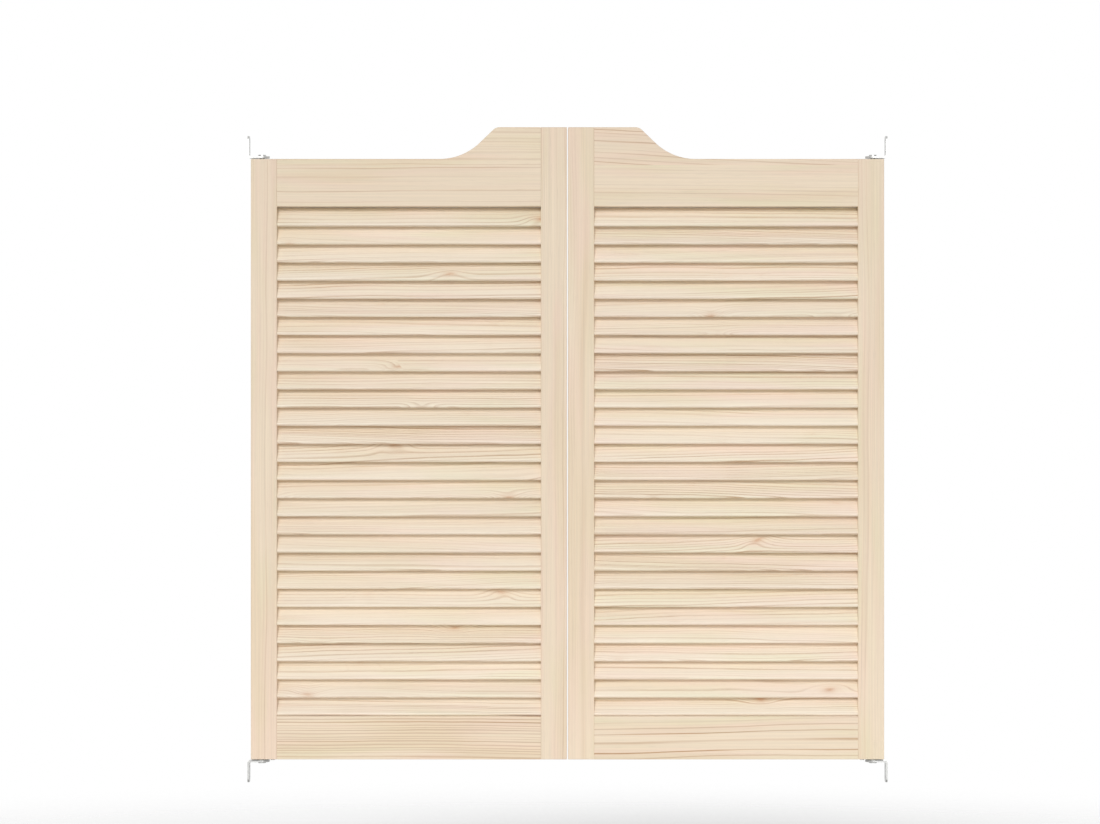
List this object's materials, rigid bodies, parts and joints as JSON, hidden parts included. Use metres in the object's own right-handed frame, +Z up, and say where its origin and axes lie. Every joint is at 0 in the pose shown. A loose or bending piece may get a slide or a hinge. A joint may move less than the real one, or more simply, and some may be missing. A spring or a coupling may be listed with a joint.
{
  "type": "cafe swinging doors",
  "caption": "Pair of louvred pine cafe doors with an ogee crest, hung on double-acting spring pivots between two jambs.",
  "frame": {"origin": "on the left jamb face, midway between the two screw holes of the left foot bracket", "axes": "+X across the opening from the left jamb to the right one, +Y from the front to the back, +Z up"},
  "size_m": [1.0808, 0.028, 1.106],
  "materials": {
    "pine_frame": "planed, unfinished",
    "pine_slats": "planed, unfinished",
    "zinc_steel": "bright zinc plated",
    "spring_steel": "oiled",
    "nylon": "moulded"
  },
  "bodies": {
    "jamb_fittings": {"left_foot_bracket": "zinc_steel", "left_foot_spindle": "zinc_steel", "left_foot_washer": "nylon", "left_head_bracket": "zinc_steel", "left_head_pin": "zinc_steel", "right_foot_bracket": "zinc_steel", "right_foot_spindle": "zinc_steel", "right_foot_washer": "nylon", "right_head_bracket": "zinc_steel", "right_head_pin": "zinc_steel"},
    "left_leaf": {"left_hinge_stile": "pine_frame", "left_meeting_stile": "pine_frame", "left_top_rail": "pine_frame", "left_top_rail_crest": "pine_frame", "left_bottom_rail": "pine_frame", "left_slats_01_02": "pine_slats", "left_slats_03_04": "pine_slats", "left_slats_05_06": "pine_slats", "left_slats_07_08": "pine_slats", "left_slats_09_10": "pine_slats", "left_slats_11_12": "pine_slats", "left_slats_13_14": "pine_slats", "left_slats_15_16": "pine_slats", "left_slats_17_18": "pine_slats", "left_slats_19_20": "pine_slats", "left_slats_21_22": "pine_slats", "left_slats_23_24": "pine_slats", "left_slats_25_26": "pine_slats", "left_slats_27_28": "pine_slats", "left_pivot_sleeve": "zinc_steel", "left_pivot_bush": "nylon", "left_pivot_spring": "spring_steel", "left_sleeve_screws": "zinc_steel", "left_head_bush": "nylon"},
    "right_leaf": {"right_hinge_stile": "pine_frame", "right_meeting_stile": "pine_frame", "right_top_rail": "pine_frame", "right_top_rail_crest": "pine_frame", "right_bottom_rail": "pine_frame", "right_slats_01_02": "pine_slats", "right_slats_03_04": "pine_slats", "right_slats_05_06": "pine_slats", "right_slats_07_08": "pine_slats", "right_slats_09_10": "pine_slats", "right_slats_11_12": "pine_slats", "right_slats_13_14": "pine_slats", "right_slats_15_16": "pine_slats", "right_slats_17_18": "pine_slats", "right_slats_19_20": "pine_slats", "right_slats_21_22": "pine_slats", "right_slats_23_24": "pine_slats", "right_slats_25_26": "pine_slats", "right_slats_27_28": "pine_slats", "right_pivot_sleeve": "zinc_steel", "right_pivot_bush": "nylon", "right_pivot_spring": "spring_steel", "right_sleeve_screws": "zinc_steel", "right_head_bush": "nylon"}
  },
  "joints": [
    {"name": "left_leaf_swing", "type": "hinge", "parent": "jamb_fittings", "child": "left_leaf", "pos_m": [0.024, 0, 0.022], "axis": [0, 0, 1], "range_deg": [-90, 90], "stiffness_Nm_per_rad": 0.87, "deforming": ["left_pivot_spring"]},
    {"name": "right_leaf_swing", "type": "hinge", "parent": "jamb_fittings", "child": "right_leaf", "pos_m": [1.0568, 0, 0.022], "axis": [0, 0, -1], "range_deg": [-90, 90], "stiffness_Nm_per_rad": 0.87, "deforming": ["right_pivot_spring"]}
  ]
}
